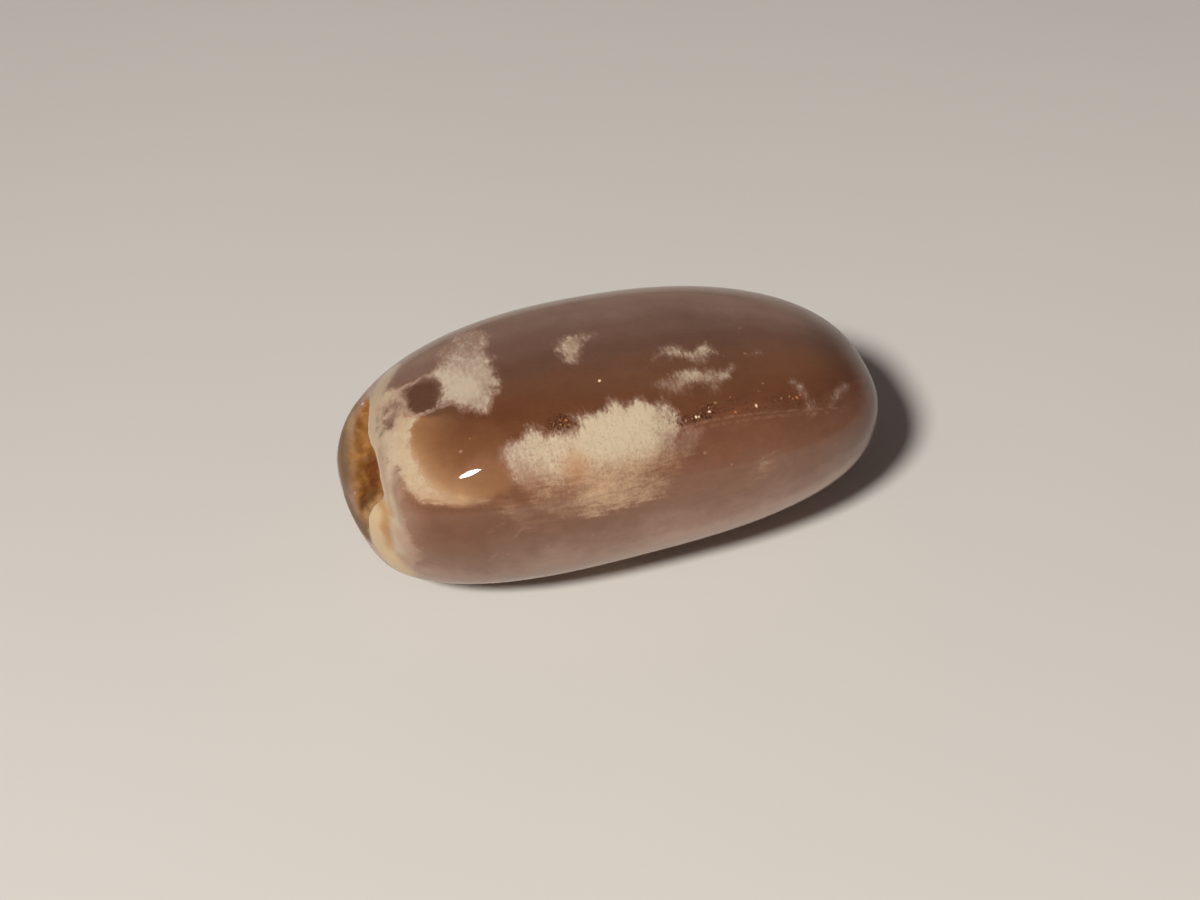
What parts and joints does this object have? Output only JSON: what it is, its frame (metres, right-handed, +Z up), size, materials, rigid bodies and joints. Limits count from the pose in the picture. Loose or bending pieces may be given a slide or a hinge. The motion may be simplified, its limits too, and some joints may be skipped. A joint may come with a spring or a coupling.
{
  "type": "tumbled moonstone",
  "caption": "Long rounded tumbled moonstone, polished mauve-brown with feathery cream clouds, a rough ochre natural hollow in one end, resting on its flattest side",
  "frame": {"origin": "on the surface that the stone rests on, under the middle of its box", "axes": "+X along the stone to its plain rounded end, -X to the end with the hollow, +Y to its back, +Z up"},
  "size_m": [0.036, 0.0174, 0.014],
  "materials": {
    "moonstone": null
  },
  "bodies": {
    "root": {"moonstone": "moonstone"}
  },
  "joints": []
}
